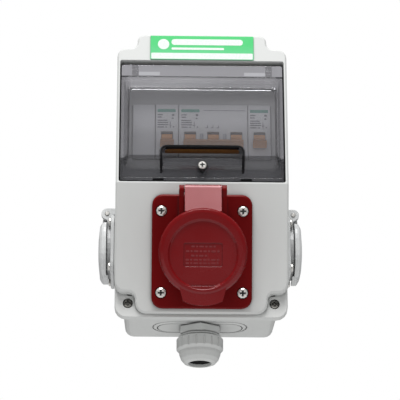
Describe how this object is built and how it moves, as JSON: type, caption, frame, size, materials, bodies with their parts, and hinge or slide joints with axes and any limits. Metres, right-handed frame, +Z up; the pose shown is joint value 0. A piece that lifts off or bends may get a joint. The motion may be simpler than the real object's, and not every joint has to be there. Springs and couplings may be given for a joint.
{
  "type": "portable power distribution box",
  "caption": "Grey wall-mounted power distribution box with breakers behind a smoked hinged window, a round industrial socket, two lidded side sockets and a cable gland",
  "frame": {"origin": "centre of the flat back mounting face", "axes": "+X to the right of someone facing the box, +Y into the wall, +Z up"},
  "size_m": [0.1566, 0.1286, 0.2443],
  "materials": {
    "enclosure": "light grey fine-textured ABS",
    "seal": "black foam rubber",
    "screw": "bright zinc-plated steel",
    "rail": "zinc-plated steel strip",
    "brass": "drawn brass",
    "label": "green printed film",
    "window": "smoked clear polycarbonate",
    "breaker": "white moulded thermoset",
    "toggle": "tan moulded nylon",
    "inlet": "red glass-filled nylon",
    "insert": "dark grey moulded nylon",
    "socket": "pale grey moulded ABS",
    "gland": "mid grey nylon"
  },
  "bodies": {
    "enclosure": {"base_box": "enclosure", "blanking_plate": "breaker", "breaker_left": "breaker", "breaker_right": "breaker", "breaker_triple": "breaker", "cover_gasket": "seal", "cover_screw_1": "screw", "cover_screw_2": "screw", "cover_screw_3": "screw", "cover_screw_4": "screw", "din_rail": "rail", "earth_bar": "brass", "front_cover": "enclosure", "gland_body": "gland", "gland_locknut": "gland", "gland_seal": "seal", "inlet_contact_1": "brass", "inlet_contact_2": "brass", "inlet_contact_3": "brass", "inlet_contact_4": "brass", "inlet_contact_5": "brass", "inlet_gasket": "seal", "inlet_housing": "inlet", "inlet_insert": "insert", "inlet_lid_pin": "screw", "inlet_lid_spring": "screw", "inlet_screw_1": "screw", "inlet_screw_2": "screw", "inlet_screw_3": "screw", "inlet_screw_4": "screw", "label_plate": "label", "left_socket_housing": "socket", "left_socket_insert": "insert", "left_socket_pin": "screw", "left_socket_screw_1": "screw", "left_socket_screw_2": "screw", "left_socket_screw_3": "screw", "left_socket_screw_4": "screw", "right_socket_housing": "socket", "right_socket_insert": "insert", "right_socket_pin": "screw", "right_socket_screw_1": "screw", "right_socket_screw_2": "screw", "right_socket_screw_3": "screw", "right_socket_screw_4": "screw", "window_pin_left": "screw", "window_pin_right": "screw"},
    "flap": {"window_flap": "window", "window_screw_bush": "seal"},
    "flap_screw": {"window_screw": "screw"},
    "switch_left": {"toggle_left": "toggle"},
    "switch_triple": {"toggle_triple": "toggle"},
    "switch_right": {"toggle_right": "toggle"},
    "inlet_cap": {"inlet_lid": "inlet", "inlet_lid_seal": "seal"},
    "left_cap": {"left_socket_lid": "socket"},
    "right_cap": {"right_socket_lid": "socket"},
    "gland_cap": {"gland_nut": "gland"}
  },
  "joints": [
    {"name": "flap_hinge", "type": "hinge", "parent": "enclosure", "child": "flap", "pos_m": [0, -0.0945, 0.08], "axis": [-1, 0, 0], "range_deg": [0, 95]},
    {"name": "flap_screw_turn", "type": "hinge", "parent": "flap", "child": "flap_screw", "pos_m": [0, -0.1035, -0.0015], "axis": [0, -1, 0], "continuous": true},
    {"name": "left_switch", "type": "hinge", "parent": "enclosure", "child": "switch_left", "pos_m": [-0.02655, -0.083, 0.0275], "axis": [-1, 0, 0], "range_deg": [0, 72]},
    {"name": "triple_switch", "type": "hinge", "parent": "enclosure", "child": "switch_triple", "pos_m": [0.00885, -0.083, 0.0275], "axis": [-1, 0, 0], "range_deg": [0, 72]},
    {"name": "right_switch", "type": "hinge", "parent": "enclosure", "child": "switch_right", "pos_m": [0.04425, -0.083, 0.0275], "axis": [-1, 0, 0], "range_deg": [0, 72]},
    {"name": "inlet_lid_hinge", "type": "hinge", "parent": "enclosure", "child": "inlet_cap", "pos_m": [0, -0.11949, -0.02816], "axis": [-1, 0, 0], "range_deg": [0, 110], "stiffness_Nm_per_rad": 0.06, "springref_deg": -57.3},
    {"name": "left_lid_hinge", "type": "hinge", "parent": "enclosure", "child": "left_cap", "pos_m": [-0.072, -0.033, -0.0196], "axis": [0, 1, 0], "range_deg": [0, 110], "stiffness_Nm_per_rad": 0.01, "springref_deg": -57.3},
    {"name": "right_lid_hinge", "type": "hinge", "parent": "enclosure", "child": "right_cap", "pos_m": [0.072, -0.033, -0.0196], "axis": [0, -1, 0], "range_deg": [0, 110], "stiffness_Nm_per_rad": 0.01, "springref_deg": -57.3},
    {"name": "gland_nut_turn", "type": "hinge", "parent": "enclosure", "child": "gland_cap", "pos_m": [0, -0.027, -0.1117], "axis": [0, 0, -1], "continuous": true}
  ]
}
